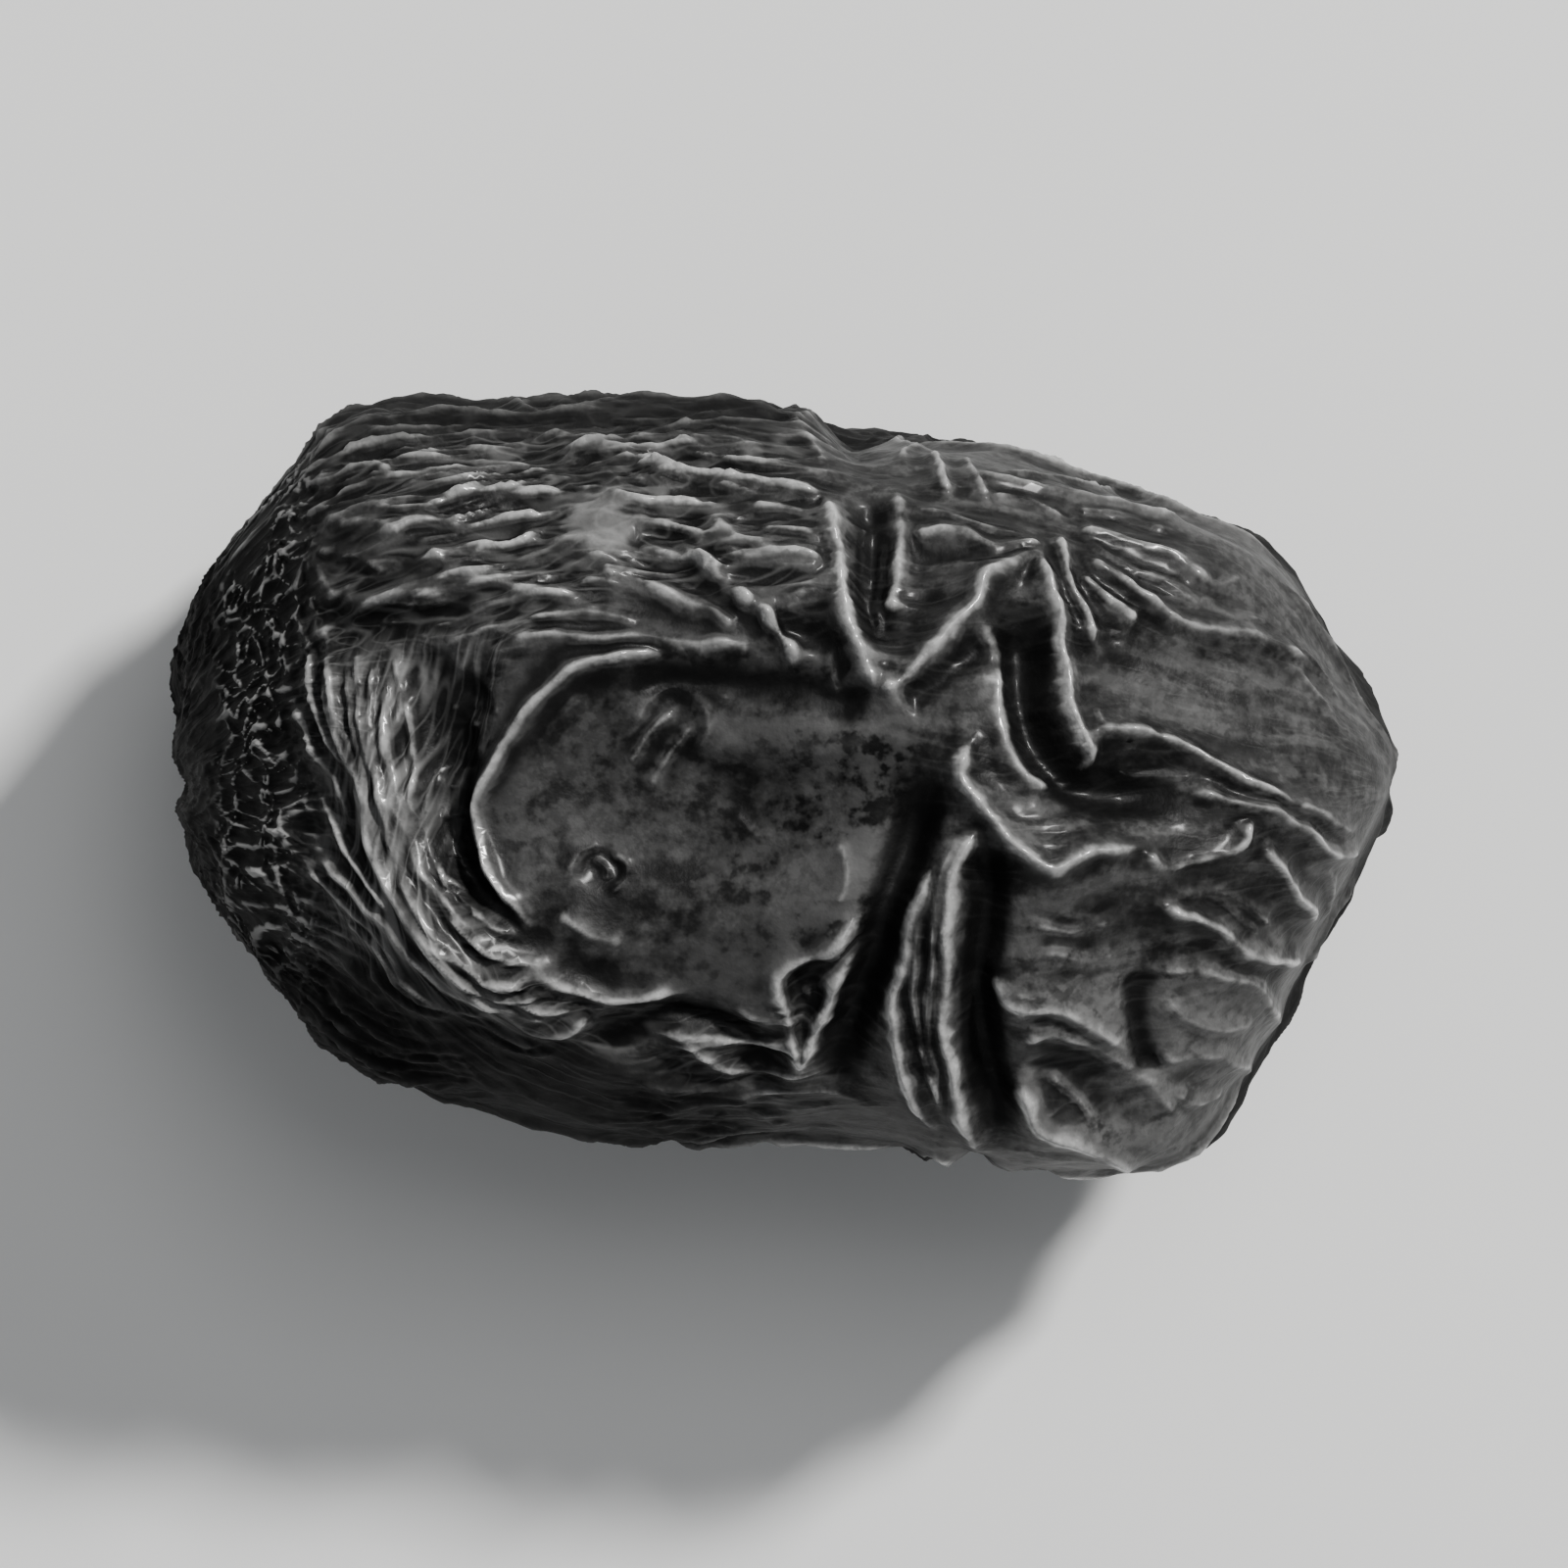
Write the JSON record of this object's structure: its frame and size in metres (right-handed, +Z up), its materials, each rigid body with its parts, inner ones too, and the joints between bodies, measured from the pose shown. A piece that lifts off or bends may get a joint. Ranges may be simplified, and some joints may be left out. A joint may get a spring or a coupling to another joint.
{
  "type": "ajwa date",
  "caption": "Whole dried date, black and wrinkled, blunt at the tip and puckered at the stem end, lying on its side on a small flat spot.",
  "frame": {"origin": "on the surface that the date lies on, under the middle of its bounding box", "axes": "+X along the fruit towards its blunt tip, the stem scar at -X; +Y across it; +Z up"},
  "size_m": [0.0326, 0.021, 0.0178],
  "materials": {
    "date_skin": "near black, wrinkled and waxy, with a soft gloss on the crests of its folds"
  },
  "bodies": {
    "root": {"date_fruit": "date_skin"}
  },
  "joints": []
}
